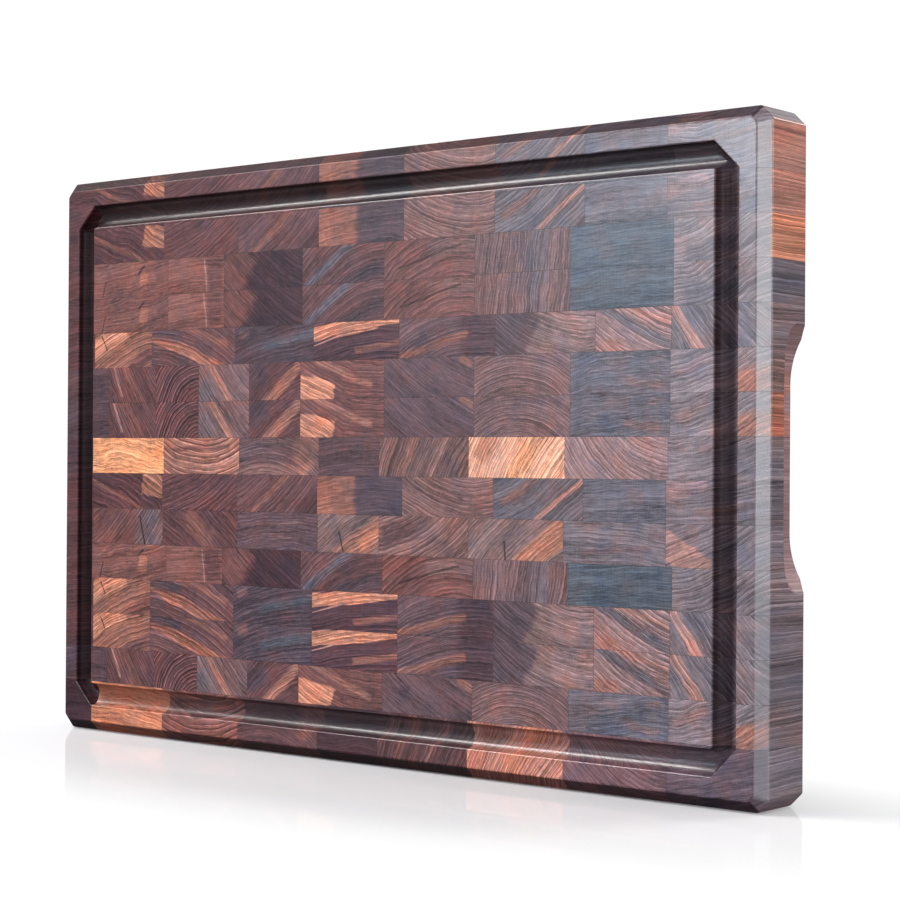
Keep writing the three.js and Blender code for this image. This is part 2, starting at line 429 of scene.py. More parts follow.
PANELS = {"a": [
    Block(26.5, "umber", 4, -160, 3, 0.5, 1.5),
    Block(83, "umber", -24, -140, 3.6, 0.9, 2.5, [
        Mark("tan", 76, 3.5, 17, 12, -8, 0.8, 0.6), Mark("fox", 50, -3, 60, 2, -20, 1.5, 0.6)]),
    Block(139.5, "mulberry", 27, 110, 2.6, 1.1, 1),
    Block(196.5, "cocoa", 38, 150, 2.8, 0.7, 1.2, [
        Mark("plum", 192, -6, 20, 12, 38, 3, 0.6), Mark("fox", 166, 2, 44, 3, 38, 2, 0.6)]),
    Block(253, "ink", 4, -250, 2.8, 0.6, 1.5, [
        Mark("fox", 208, 0, 28, 30, 0, 4), Mark("copper", 200, -6, 12, 10, 10, 3, 0.6)]),
    Block(309.5, "fawn", -14, 70, 3, 0.9, 1.2),
    Block(361.5, "ash", 32, 140, 2.8, 0.7, 1.2, [
        Mark("rose", 348, 0, 40, 2.6, 34, 1, 0.8), Mark("fox", 325, 4, 26, 4, 30, 2, 0.5)]),
    Block(406.5, "slate", 2, -300, 2.2, 0.4, 0.8),
    Block(457.2, "haze", 6, 200, 2.8, 0.6, 1.5, [
        Mark("blush", 415, 5, 26, 7, 16, 3, 0.8), Mark("sand", 436, -3, 30, 3, 8, 2, 0.7)]),
], "b": [
    Block(27, "umber", 5, -200, 3, 0.5, 1.5),
    Block(86.5, "russet", 8, 180, 2.6, 0.6, 2.6, [
        Mark("copper", 67.5, -1.5, 6, 9, -12, 1.2), Mark("fawn", 36, 5, 16, 1.2, 35, 1),
        Mark("soot", 35, -5, 0.7, 9, -20, 0.4), Mark("soot", 66, 5, 6, 1.4, 40, 0.8, 0.8)]),
    Block(129, "russet", 2, -260, 2.6, 0.65, 1.5, [
        Mark("rose", 115, 0, 0.9, 17, 6, 0.4, 0.7), Mark("umber", 122, 0, 10, 17, 6, 2, 0.6)]),
    Block(185.5, "plum", -37, 160, 2.2, 0.7, 1, [Mark("chestnut", 138, 2, 20, 26, -37, 6)]),
    Block(240.5, "cocoa", 28, -70, 2.6, 0.75, 1.2, [
        Mark("slate", 206, 2, 44, 4, 34, 2.5, 0.8), Mark("ink", 222, -7, 36, 7, 16, 3, 0.8)]),
    Block(297.5, "chestnut", 18, -60, 3, 0.8, 1.2, [
        Mark("fawn", 284, 5, 30, 8, 5, 4, 0.8), Mark("soot", 270, 1, 40, 1, 14, 1, 0.7)]),
    Block(353.5, "taupe", 82, -120, 2.4, 0.8, 2.2, [Mark("ash", 335, 0, 34, 12, 84, 4, 0.7)]),
    Block(410, "steel", 3, -400, 1.9, 0.35, 0.8),
    Block(457.2, "dove", 25, 90, 2.8, 0.8, 1.8, [Mark("ash", 436, -3, 40, 8, 10, 4, 0.8)]),
], "c": [
    Block(28, "umber", 5, -200, 3, 0.5, 1.5),
    Block(74, "fox", 22, -130, 2.8, 1, 1.2, [
        Mark("amber", 38, 5, 34, 11, 22, 3, 0.75), Mark("umber", 66, -6, 24, 7, 24, 3, 0.7),
        Mark("soot", 36, 4, 0.8, 9, 30, 0.4)]),
    Block(137.5, "cocoa", -20, -110, 2.8, 1, 1.2, [
        Mark("copper", 101, -2, 74, 6, -19, 1), Mark("ink", 86, 7, 24, 5, -8, 1.5),
        Mark("fox", 112, 7, 44, 3, -18, 1.5, 0.6)]),
    Block(193.5, "ink", 12, -160, 2.8, 0.7, 1.2, [
        Mark("steel", 178, 2, 44, 4, 10, 3, 0.6), Mark("taupe", 144, 6, 8, 5, 20, 2.5, 0.7)]),
    Block(250.5, "maroon", 7, -220, 2.6, 0.95, 0.8, [
        Mark("amber", 221, 7.4, 66, 7.5, 7, 0.5), Mark("rose", 207, 1.6, 30, 0.8, 14, 0.4, 0.8),
        Mark("fox", 238, -3, 34, 3, 8, 1.5, 0.7)]),
    Block(310, "heather", 12, -80, 2.8, 0.8, 1.2, [
        Mark("plum", 300, 0, 22, 26, 10, 6, 0.7), Mark("fox", 272, -4, 44, 4, 14, 2, 0.7)]),
    Block(368, "sand", -20, 80, 2.8, 0.95, 1.2, [
        Mark("ink", 316, -1, 28, 34, -30, 4), Mark("blush", 356, 2, 24, 14, 5, 4, 0.6)]),
    Block(409, "blush", -28, 120, 3, 1, 1.2, [
        Mark("ash", 390, 1, 56, 4.5, -25, 1.2), Mark("copper", 375, -7.5, 16, 7, 0, 2.5, 0.5),
        Mark("rose", 392, 7, 34, 2.6, -14, 1, 0.8)]),
    Block(457.2, "haze", -50, 120, 2.8, 0.7, 1.8, [
        Mark("rose", 417, 0, 28, 5, -56, 1.5, 0.8), Mark("dove", 440, 4, 30, 4, 10, 3, 0.7)]),
], "d": [
    Block(40, "bark", 8, -200, 2.4, 0.4, 1.5),
    Block(77.5, "mulberry", -58, 130, 2.4, 0.8, 1.2, [
        Mark("rose", 47, 2, 18, 1.6, -68, 0.8, 0.7), Mark("russet", 58, 0, 30, 8, -60, 3, 0.7)]),
    Block(110.5, "mulberry", 45, -26, 2.6, 2, 0.8),
    Block(148, "taupe", -48, 120, 2.4, 0.8, 1.2, [
        Mark("clay", 126, 1, 34, 4, -52, 1.8, 0.8), Mark("taupe", 143, 5, 14, 12, -40, 4),
        Mark("ash", 116, -4, 12, 12, -50, 4, 0.7)]),
    Block(184.5, "mulberry", 34, -60, 2.6, 0.85, 1.2, [
        Mark("clay", 172, -2, 34, 6, 40, 1.8, 0.8), Mark("ink", 154, 3, 14, 14, 20, 4, 0.7)]),
    Block(241, "chestnut", -15, 90, 2.6, 0.8, 1.2, [
        Mark("amber", 194, -5, 27, 13, -12, 1), Mark("clay", 212, 4, 44, 3, -20, 1.5, 0.7)]),
    Block(297.5, "heather", -30, 170, 1.9, 0.6, 0.8, [Mark("fox", 293, 7, 9, 4, -20, 2, 0.7)]),
    Block(354, "taupe", -4, -42, 2.2, 0.9, 1),
    Block(408.5, "slate", 5, -260, 2.4, 0.6, 1.8, [
        Mark("haze", 375, 4, 26, 5, 20, 4, 0.8), Mark("sand", 394, -5, 20, 4, -10, 3, 0.7),
        Mark("blush", 402, 6, 10, 3, 10, 2, 0.5)]),
    Block(457.2, "dove", 22, 140, 2.8, 0.7, 1.8, [
        Mark("clay", 453, -4, 20, 10, 10, 4, 0.9), Mark("blush", 420, 2, 20, 4, 24, 3, 0.7)]),
], "e": [
    Block(27, "maroon", 3, -250, 2.8, 0.4, 1.5),
    Block(84, "honey", -4, -150, 3.2, 0.55, 2.4),
    Block(141, "clay", 0, 55, 3.8, 1.4, 1.2, [
        Mark("rose", 128, -3, 24, 5, 25, 2, 0.7), Mark("umber", 112, 4, 44, 2.5, 3, 1.5, 0.7)]),
    Block(197.5, "fawn", -10, -60, 2.2, 0.65, 1.2, [
        Mark("ink", 160, 2, 40, 12, 0, 5, 0.7), Mark("clay", 189, -6, 11, 5, 30, 3, 0.8)]),
    Block(238, "bark", 3, -300, 2.6, 0.6, 1.5),
    Block(294.5, "walnut", 62, -140, 2.8, 1, 1.6, [
        Mark("clay", 256, 0, 30, 5, 62, 2, 0.7), Mark("rose", 276, 0, 30, 2.5, 60, 1.5, 0.6)]),
    Block(351, "cream", 57, -120, 2.3, 1, 1.2, [
        Mark("copper", 305, 5, 16, 10, 50, 4, 0.7), Mark("honey", 328, 0, 30, 10, 57, 4, 0.7)]),
    Block(407.5, "blush", -38, 60, 2.4, 0.8, 1.2),
    Block(457.2, "dove", 14, 180, 2.6, 0.6, 1.8, [Mark("ash", 442, 2, 40, 7, 10, 4, 0.8)]),
], "f": [
    Block(27.5, "umber", 5, -200, 3, 0.5, 1.5),
    Block(83.5, "chestnut", 45, 160, 2.6, 0.75, 1.2, [
        Mark("haze", 72, 0, 22, 28, 0, 5, 0.45), Mark("slate", 76, 4, 10, 8, 20, 4, 0.4),
        Mark("soot", 67.5, -2, 1, 15, 15, 0.5)]),
    Block(140, "mulberry", -35, -150, 2.6, 0.6, 1.2, [
        Mark("fox", 112, 0, 26, 11, -30, 6, 0.5)]),
    Block(197, "heather", 3, -140, 2.3, 0.7, 1.2, [
        Mark("taupe", 165, 4, 44, 1.6, 3, 1), Mark("taupe", 180, -4, 34, 1.4, -8, 1)]),
    Block(238, "sand", 30, -160, 2.6, 0.65, 1.2, [
        Mark("clay", 228, -4, 40, 14, 30, 1.5), Mark("amber", 232, -2, 16, 5, 30, 3, 0.6),
        Mark("soot", 213, -4, 0.9, 10, 20, 0.4)]),
    Block(294.5, "fawn", 28, 90, 2.8, 0.95, 1.2, [Mark("umber", 250, 3, 20, 10, 20, 5, 0.6)]),
    Block(350.5, "sand", 38, -160, 2.6, 0.8, 1.2, [
        Mark("tan", 338, -4, 34, 11, 34, 1.5, 0.75), Mark("soot", 316.5, -6, 0.9, 9, 5, 0.4)]),
    Block(406.5, "haze", -3, -260, 2.3, 0.6, 1.2, [Mark("taupe", 380, -3, 40, 3, 5, 2, 0.6)]),
    Block(457.2, "haze", 25, 150, 2.6, 0.7, 1.8, [Mark("rose", 416, -5, 28, 12, -28, 1.5, 0.8)]),
]}

# The panel that each strip was crosscut from, from the bottom strip to the top one
STRIP_PANELS = "edccbfaeddcbbaa"

# How many marks a block can have
MARK_SLOTS = 4

# Tone of the long grain that shows at the right end of each strip, from the bottom to the top
END_TONES = (
    "dove", "haze", "ash", "haze", "dove", "haze", "ash", "dove",
    "copper", "sand", "haze", "ash", "tan", "clay", "clay")

# Channel by channel, how much darker the lowest strip is than the others cut from its panel
LOWEST_STRIP_TINT = (0.58, 0.50, 0.57)

# How much painted shade darkens the groove and the long sides' bevels, from 0 to 1. The lower
# run and the outer wall of the right run get less painted shade, as if lit.
GROOVE_PAINTED_SHADE = 0.92
LOWER_RUN_LESS_SHADE = 0.4
OUTER_WALL_LESS_SHADE = 0.45
BEVEL_PAINTED_SHADE = 0.9

# How strongly a pale painted highlight is laid on the front bevels of the two ends, from 0 to 1
BEVEL_PAINTED_HIGHLIGHT = 0.25

# How pale and pink the wood is left inside the scoops, from 0 to 1
SCOOP_BLUSH = 0.4

# Millimetres along the grain between two strips of a panel, so that their figure differs a little
CROSSCUT_GAP = 41.0

# Each block's noise is looked up in a place of its own, a step from the last one's. The blocks
# of a panel are numbered from a multiple of the panel step.
PANEL_STEP = 100
SEED_STEP = 61.7
SEED_LEAN = (1.0, 1.7, 0.6)

# Slack in telling whether a point belongs to the groove, a bevel or a face, in millimetres
GROOVE_SLACK = 2.0
BEVEL_SLACK = 0.8
FACE_SKIN = 0.02
FLOOR_SLACK = 0.5
END_SKIN = 0.3


def linear(tone, tint=(1, 1, 1)):
    """A named tone as linear RGB, tinted."""
    made = []
    for channel, share in zip(TONES[tone], tint):
        value = channel / 255
        value = value / 12.92 if value <= 0.04045 else ((value + 0.055) / 1.055) ** 2.4
        made.append(value * share)
    return made


def is_last(block):
    """Whether a block is the one at the right end of its strip."""
    return block.end > LENGTH - 1


def facts_of(block, start, ordinal, end_tone, tint):
    """The constants that the wood material reads for one block, by attribute name."""
    middle = (start + block.end) / 2
    angle = math.radians(block.angle)
    side = 1 if block.bow < 0 else -1
    facts = {
        "rings": (-math.sin(angle) * side, math.cos(angle) * side, abs(block.bow)),
        "figure": (block.spacing, block.contrast, block.wave),
        "tone": linear(block.tone, tint),
        "end_tone": linear(end_tone if is_last(block) else block.tone),
        "seed": [ordinal * lean * SEED_STEP for lean in SEED_LEAN],
    }
    marks = list(block.marks) + [Mark(block.tone, middle, 0, 0, 0, strength=0)] * MARK_SLOTS
    for number, mark in enumerate(marks[:MARK_SLOTS]):
        turn = math.radians(mark.turn)
        facts[f"mark_{number}_place"] = (mark.x - middle, mark.z, mark.soft)
        facts[f"mark_{number}_shape"] = (mark.width / 2, mark.height / 2, 0)
        facts[f"mark_{number}_turn"] = (math.cos(turn), math.sin(turn), mark.strength)
        facts[f"mark_{number}_tint"] = linear(mark.tint, tint)
    return facts


def is_dull(point):
    """Whether a point of the surface, in millimetres, is left duller than the polished faces.

    The long sides with their bevels, the scoops and the upright runs of the groove are.
    """
    from_end = END_X - abs(point.x)
    from_side = min(point.z, WIDTH - point.z)
    below = point.y - FRONT_Y
    sunk = FACE_SKIN < below < GROOVE_DEPTH + FLOOR_SLACK
    in_end_groove = sunk and from_side > from_end > GROOVE_INSET - GROOVE_SLACK
    on_long_side = from_side < EDGE_BEVEL + BEVEL_SLACK and from_end > CORNER_CUT
    return in_end_groove or on_long_side or (in_scoop(point) and from_end > END_SKIN)


def add_attribute(mesh, name, rows):
    """Stores one 3-vector for each point of a mesh, for the wood material to read."""
    layer = mesh.attributes.new(name, "FLOAT_VECTOR", "POINT")
    layer.data.foreach_set("vector", [value for row in rows for value in row])


def finish_block(part, name, block, start, strip, ordinal, repeat, end_tone, finishes):
    """One block as a piece: its mesh in metres, with what the wood material reads from it."""
    low_z, high_z = strip
    middle = (start + block.end) / 2 - END_X
    left = start - END_X - (HIDDEN_SIDE if start == 0 else 0)
    right = block.end - END_X + (HIDDEN_SIDE if is_last(block) else 0)
    bottom = low_z - (HIDDEN_SIDE if low_z == 0 else 0)
    top = high_z + (HIDDEN_SIDE if high_z > WIDTH - 1 else 0)
    mesh = bpy.data.meshes.new(name)
    part.to_mesh(mesh)
    part.free()
    points = [vertex.co.copy() for vertex in mesh.vertices]
    row_middle = high_z - INNER_STRIP / 2
    depth = repeat * CROSSCUT_GAP
    add_attribute(mesh, "grain", [(p.x - middle, p.z - row_middle, p.y + depth) for p in points])
    add_attribute(mesh, "place", points)
    add_attribute(mesh, "to_low", [(p.x - left, p.z - bottom, 0) for p in points])
    add_attribute(mesh, "to_high", [(right - p.x, top - p.z, 0) for p in points])
    tint = LOWEST_STRIP_TINT if low_z == 0 else (1, 1, 1)
    for key, value in facts_of(block, start, ordinal, end_tone, tint).items():
        add_attribute(mesh, key, [value] * len(points))
    mesh.transform(Matrix.Scale(METRES, 4))
    mesh.shade_smooth()
    mesh.set_sharp_from_angle(angle=SHARP)
    for finish in finishes:
        mesh.materials.append(finish)
    for polygon in mesh.polygons:
        polygon.material_index = int(is_dull(polygon.center / METRES))
    if not any(polygon.material_index for polygon in mesh.polygons):
        mesh.materials.pop(index=1)
    piece = add_object(name, mesh)
    even = piece.modifiers.new("even_normals", "WEIGHTED_NORMAL")
    even.keep_sharp = True
    return piece


# ---------------- materials


class Wiring:
    """Short calls that add nodes to a material or a world and return their output sockets."""

    def __init__(self, owner):
        owner.use_nodes = True
        self.tree = owner.node_tree
        self.tree.nodes.clear()

    def node(self, kind, *inputs, **settings):
        """A new node with its first inputs fed in order."""
        made = self.tree.nodes.new(kind)
        for key, value in settings.items():
            setattr(made, key, value)
        for socket, value in zip(made.inputs, inputs):
            self.feed(socket, value)
        return made

    def feed(self, socket, value):
        """Links a socket into an input, or sets the input to a value."""
        if isinstance(value, bpy.types.NodeSocket):
            self.tree.links.new(value, socket)
        else:
            socket.default_value = value

    def math(self, operation, *values):
        return self.node("ShaderNodeMath", *values, operation=operation).outputs[0]

    def product(self, first, *others):
        made = first
        for other in others:
            made = self.math("MULTIPLY", made, other)
        return made

    def vector(self, operation, *values):
        made = self.node("ShaderNodeVectorMath", operation=operation)
        for socket, value in zip(made.inputs, values):
            self.feed(socket, value)
        return made.outputs["Value" if operation == "DOT_PRODUCT" else "Vector"]

    def scaled(self, vector, amount):
        made = self.node("ShaderNodeVectorMath", operation="SCALE")
        self.feed(made.inputs[0], vector)
        self.feed(made.inputs["Scale"], amount)
        return made.outputs["Vector"]

    def attribute(self, name):
        return self.node("ShaderNodeAttribute", attribute_name=name).outputs["Vector"]

    def parts(self, vector):
        return self.node("ShaderNodeSeparateXYZ", vector).outputs

    def join(self, x, y, z=0.0):
        return self.node("ShaderNodeCombineXYZ", x, y, z).outputs[0]

    def noise(self, vector, detail=2.0, roughness=0.5, output="Factor"):
        made = self.node("ShaderNodeTexNoise")
        self.feed(made.inputs["Vector"], vector)
        made.inputs["Scale"].default_value = 1.0
        made.inputs["Detail"].default_value = detail
        made.inputs["Roughness"].default_value = roughness
        return made.outputs[0 if output == "Factor" else 1]

    def ramp(self, value, low, high):
        """0 below low, 1 above high, smooth between."""
        made = self.node("ShaderNodeMapRange", interpolation_type="SMOOTHSTEP")
        self.feed(made.inputs["Value"], value)
        self.feed(made.inputs["From Min"], low)
        self.feed(made.inputs["From Max"], high)
        return made.outputs[0]

    def mix(self, factor, first, second, blend="MIX"):
        """Two colours mixed. A mix node keeps its colour sockets behind those of other types."""
        made = self.node("ShaderNodeMix", data_type="RGBA", blend_type=blend)
        self.feed(made.inputs["Factor"], factor)
        self.feed(made.inputs[6], first)
        self.feed(made.inputs[7], second)
        return made.outputs[2]


# Streaks follow the growth rings. Each kind has a size in millimetres across the rings and along
# them, a detail, a salt that sets it apart from the other kinds, and a strength.
Streak = namedtuple("Streak", "across along detail salt strength")
BROAD = Streak(8.0, 70.0, 2.0, 3.1, 0.55)
LINES = Streak(0.85, 24.0, 4.0, 7.7, 0.6)
FINE = Streak(0.38, 5.0, 2.0, 1.3, 0.6)
FRAYING = Streak(2.2, 60.0, 3.0, 5.5, 5.0)
STREAK_RANGE = (0.3, 0.7)

# Rays cross the rings
RAY_WIDTH = 0.4
RAY_LENGTH = 9.0
RAY_STRENGTH = 0.2

# The figure changes this much more slowly along the grain than across it, and streaks more so
ALONG_GRAIN = 0.2
STREAK_ALONG_GRAIN = 0.05

# The rings wander over these sizes, in millimetres, and further in a block with more wave
BEND_SIZE = 24
BEND_SWING = 3.0
RIPPLE_SIZE = 5
RIPPLE_SWING = 0.5

# Rings stand at this share of a block's spacing. Noise that changes over this many spacings
# moves them by up to this many rings.
SPACING_SHARE = 0.8
UNEVEN_SPACINGS = 2.6
UNEVEN_RINGS = 3.0

# Pores and pale flecks in each millimetre across the grain and along it
PORES_ACROSS = 2.6
PORES_ALONG = 0.16
PORE_DARKNESS = 0.55
CHALK_SHARE = 0.83
CHALK_PLACE = (9.0, 4.0, 2.0)
CHALK_LIGHT = 0.4

# Light and dark of the figure
PLAIN_LIGHT = 1.05
LEAST_LIGHT = 0.12
RING_EDGE_LIGHT = 1.0
LATE_DARKNESS = 0.78
DARKEST = 0.95

# How much of the rings' wandering the marks share, and the half size at which an edge frays fully
MARK_WANDER = 0.4
FULL_FRAY = 4.0

# Passages of warmer and cooler wood, in millimetres
DRIFT_SIZE = 13

# Linear colours. The first four multiply the wood's own colour, and the others cover it. The
# fourth is painted shade for the groove and bevels, and the fifth a pale painted highlight.
WARMER = (1.16, 0.95, 0.88, 1)
COOLER = (0.78, 0.86, 0.98, 1)
LATEWOOD = (0.2, 0.15, 0.18, 1)
PAINTED_SHADE = (0.2, 0.15, 0.17, 1)
PAINTED_HIGHLIGHT = (0.42, 0.42, 0.46, 1)
SCOOPED = (0.42, 0.22, 0.22, 1)
GLUE = (0.008, 0.005, 0.005, 1)

# The glue line fades out between these distances from a block's side, in millimetres
GLUE_EDGE = (0.03, 0.22)
GLUE_STRENGTH = 0.5

# Relief of the surface: its height in metres, and the share of each part in it
RELIEF = 0.00012
RELIEF_STRENGTH = 0.35
PORE_RELIEF = -1.0
FINE_RELIEF = 0.5
LINE_RELIEF = 0.6
GLUE_RELIEF = -0.6

WOOD_IOR = 1.47
COAT_ROUGHNESS = 0.16


class WoodWiring(Wiring):
    """The steps of the wood material, with the sockets that they share.

    Growth rings are arcs about each block's own pith: depth runs from ring to ring and arc runs
    along a ring, both in millimetres.
    """

    def __init__(self, material):
        super().__init__(material)
        self.grain = self.parts(self.attribute("grain"))
        self.on_end = self.join(self.grain[0], self.grain[1])
        self.seed = self.attribute("seed")
        self.seed_x = self.parts(self.seed)[0]
        figure = self.parts(self.attribute("figure"))
        self.spacing = self.product(figure[0], SPACING_SHARE)
        self.contrast = figure[1]
        self.slow = self.product(self.grain[2], ALONG_GRAIN)
        self.place = self.vector("ADD", self.join(self.grain[0], self.grain[1], self.slow), self.seed)
        self.shift = self.ring_shift(figure[2])
        self.depth, self.arc = self.about_pith()
        self.broad = self.streaks(BROAD)
        self.lines = self.streaks(LINES)
        self.fine = self.streaks(FINE)

        spot = self.parts(self.attribute("place"))
        self.from_right = self.math("SUBTRACT", END_X, spot[0])
        self.from_end = self.math("SUBTRACT", END_X, self.math("ABSOLUTE", spot[0]))
        self.from_side = self.math("MINIMUM", spot[2], self.math("SUBTRACT", WIDTH, spot[2]))
        self.below = self.math("SUBTRACT", spot[1], FRONT_Y)
        self.from_back = self.math("SUBTRACT", BACK_Y, spot[1])
        self.height = spot[2]

    def wander(self, size):
        """A vector of about half a millimetre either way that changes over a size."""
        colour = self.noise(self.scaled(self.place, 1 / size), 2, 0.5, "Color")
        return self.vector("SUBTRACT", colour, (0.5, 0.5, 0.5))

    def ring_shift(self, wave):
        """How far the rings are pushed out of true, in millimetres."""
        bend = self.scaled(self.wander(BEND_SIZE), self.math("MULTIPLY_ADD", wave, BEND_SWING, 1.0))
        ripple = self.scaled(self.wander(RIPPLE_SIZE), self.product(wave, RIPPLE_SWING))
        return self.vector("ADD", bend, ripple)

    def about_pith(self):
        """Depth and arc: the polar place about the pith."""
        rings = self.parts(self.attribute("rings"))
        bent = self.vector("ADD", self.on_end, self.shift)
        outward = self.join(rings[0], rings[1])
        sideways = self.join(self.product(rings[1], -1.0), rings[0])
        ahead = self.math("ADD", self.vector("DOT_PRODUCT", bent, outward), rings[2])
        across = self.vector("DOT_PRODUCT", bent, sideways)
        squared = self.math("ADD", self.product(ahead, ahead), self.product(across, across))
        arc = self.product(self.math("ARCTAN2", across, ahead), rings[2])
        return self.math("SQRT", squared), arc

    def streaks(self, streak):
        """Noise drawn out along the rings."""
        across = self.math("DIVIDE", self.depth, streak.across)
        along = self.math("DIVIDE", self.arc, streak.along)
        salt = self.math("ADD", self.seed_x, streak.salt)
        layer = self.math("MULTIPLY_ADD", self.slow, STREAK_ALONG_GRAIN, salt)
        return self.noise(self.join(across, along, layer), streak.detail)

    def growth_rings(self):
        """Where a point lies in its ring, its share of latewood, and the ring's bright start."""
        groups = self.math("DIVIDE", self.depth, self.product(self.spacing, UNEVEN_SPACINGS))
        uneven = self.product(self.noise(self.join(groups, self.seed_x)), UNEVEN_RINGS)
        turns = self.math("ADD", self.math("DIVIDE", self.depth, self.spacing), uneven)
        within = self.math("FRACT", turns)

        # Each ring darkens towards its latewood and ends sharply
        ended = self.math("SUBTRACT", 1.0, self.ramp(within, 0.0, 0.07))
        late = self.math("MAXIMUM", self.ramp(within, 0.45, 0.97), ended)
        which = self.join(self.math("FLOOR", turns), self.seed_x)
        random = self.node("ShaderNodeTexWhiteNoise", which, noise_dimensions="3D").outputs[0]
        late = self.product(
            late, self.math("MULTIPLY_ADD", random, 0.8, 0.25), self.ramp(self.broad, 0.25, 0.55))
        bright = self.product(
            self.ramp(within, 0.06, 0.14), self.ramp(within, 0.36, 0.16),
            self.ramp(self.fine, 0.3, 0.62))
        return within, late, bright

    def pores_and_chalk(self, within):
        """Dots on the end grain, short streaks on the long grain: dark pores and pale flecks."""
        place = self.vector("ADD", self.join(
            self.product(self.grain[0], PORES_ACROSS),
            self.product(self.grain[1], PORES_ACROSS),
            self.product(self.grain[2], PORES_ALONG)), self.seed)
        early = self.math("SUBTRACT", 1.0, self.ramp(within, 0.05, 0.8))
        pores = self.product(
            self.ramp(self.noise(place, 1.0, 0.6), 0.55, 0.7),
            self.math("MULTIPLY_ADD", early, 0.6, 0.4))
        apart = self.vector("ADD", self.scaled(place, CHALK_SHARE), CHALK_PLACE)
        return pores, self.ramp(self.noise(apart, 1.0), 0.58, 0.72)

    def inside_mark(self, away, half, soft, fray):
        """1 within half a mark's size of its middle and 0 beyond, over a soft and frayed edge."""
        left_over = self.math("SUBTRACT", half, self.math("ABSOLUTE", away))
        small = self.math("MINIMUM", self.math("DIVIDE", half, FULL_FRAY), 1.0)
        left_over = self.math("ADD", left_over, self.product(fray, small))
        return self.ramp(self.math("DIVIDE", left_over, soft), -0.5, 0.5)

    def marked_tone(self):
        """A block's own tone with its marks over it. Their edges fray along the rings."""
        tone = self.attribute("tone")
        frayed = self.vector("ADD", self.on_end, self.scaled(self.shift, MARK_WANDER))
        fray = self.product(self.math("SUBTRACT", self.streaks(FRAYING), 0.5), FRAYING.strength)
        for number in range(MARK_SLOTS):
            spot = self.parts(self.attribute(f"mark_{number}_place"))
            shape = self.parts(self.attribute(f"mark_{number}_shape"))
            turn = self.parts(self.attribute(f"mark_{number}_turn"))
            away = self.vector("SUBTRACT", frayed, self.join(spot[0], spot[1]))
            run = self.vector("DOT_PRODUCT", away, self.join(turn[0], turn[1]))
            upward = self.join(self.product(turn[1], -1.0), turn[0])
            rise = self.vector("DOT_PRODUCT", away, upward)
            mask = self.product(
                self.inside_mark(run, shape[0], spot[2], fray),
                self.inside_mark(rise, shape[1], spot[2], fray), turn[2])
            tone = self.mix(mask, tone, self.attribute(f"mark_{number}_tint"))
        return self.mix(self.ramp(self.from_right, 1.0, 0.1), tone, self.attribute("end_tone"))

    def drifting(self, tone):
        """The tone with warmer and cooler passages."""
        drift = self.noise(self.scaled(self.place, 1 / DRIFT_SIZE), 2.0)
        warmer = self.mix(1.0, tone, WARMER, "MULTIPLY")
        cooler = self.mix(1.0, tone, COOLER, "MULTIPLY")
        tone = self.mix(self.ramp(drift, 0.48, 0.72), tone, warmer)
        return self.mix(self.ramp(drift, 0.5, 0.28), tone, cooler)

    def figured(self, tone, pores, chalk, late, bright):
        """The tone made lighter and darker by streaks, rays, rings, pores and pale flecks."""
        rays = self.noise(self.join(
            self.math("DIVIDE", self.arc, RAY_WIDTH),
            self.math("DIVIDE", self.depth, RAY_LENGTH), self.seed_x), 1.0)
        light = PLAIN_LIGHT
        for streak, strength in (
                (self.broad, BROAD.strength), (self.lines, LINES.strength),
                (self.fine, FINE.strength), (rays, RAY_STRENGTH)):
            centred = self.math("SUBTRACT", self.ramp(streak, *STREAK_RANGE), 0.5)
            light = self.math("MULTIPLY_ADD", centred, strength, light)
        light = self.math("MULTIPLY_ADD", chalk, CHALK_LIGHT, light)
        edge = self.product(bright, self.contrast)
        light = self.math("MULTIPLY_ADD", edge, RING_EDGE_LIGHT, light)
        late = self.product(late, self.product(self.contrast, LATE_DARKNESS))
        dark = self.math("MAXIMUM", late, self.product(pores, PORE_DARKNESS))
        latewood = self.mix(1.0, tone, LATEWOOD, "MULTIPLY")
        shaded = self.mix(self.product(dark, DARKEST), tone, latewood)
        return self.scaled(shaded, self.math("MAXIMUM", light, LEAST_LIGHT))

    def painted_shade_and_highlight(self, colour):
        """Painted shade darkens the groove and the long sides' bevels, where shade falls.

        The lower run and the outer wall of the right run get less painted shade, as lit walls. A pale
        painted highlight is laid on the front bevels of the two ends instead.
        """
        inset = self.math("MINIMUM", self.from_end, self.from_side)
        deep = self.math("MINIMUM", self.below, self.from_back)
        sunk = self.product(
            self.ramp(self.below, 0.0, 1.5),
            self.ramp(self.below, GROOVE_DEPTH + 2, GROOVE_DEPTH + 1))
        in_groove = self.product(self.ramp(inset, EDGE_BEVEL + 2, EDGE_BEVEL + 4), sunk)
        side_bevel, end_bevel = [
            self.product(
                self.ramp(reach, 0.1, 0.5), self.ramp(deep, 0.0, 0.5),
                self.ramp(self.math("ADD", reach, deep), EDGE_BEVEL + 1.2, EDGE_BEVEL + 0.6))
            for reach in (self.from_side, self.from_end)]
        inner_edge = GROOVE_INSET + GROOVE_WIDTH
        lower_run = self.ramp(self.height, inner_edge + 1, inner_edge - 1)
        outer_wall = self.ramp(self.from_right, GROOVE_INSET + 6, GROOVE_INSET + 3)
        groove_shade = self.math("MULTIPLY_ADD", lower_run, -LOWER_RUN_LESS_SHADE, GROOVE_PAINTED_SHADE)
        groove_shade = self.math("MULTIPLY_ADD", outer_wall, -OUTER_WALL_LESS_SHADE, groove_shade)
        bevel_shade = self.product(side_bevel, BEVEL_PAINTED_SHADE)
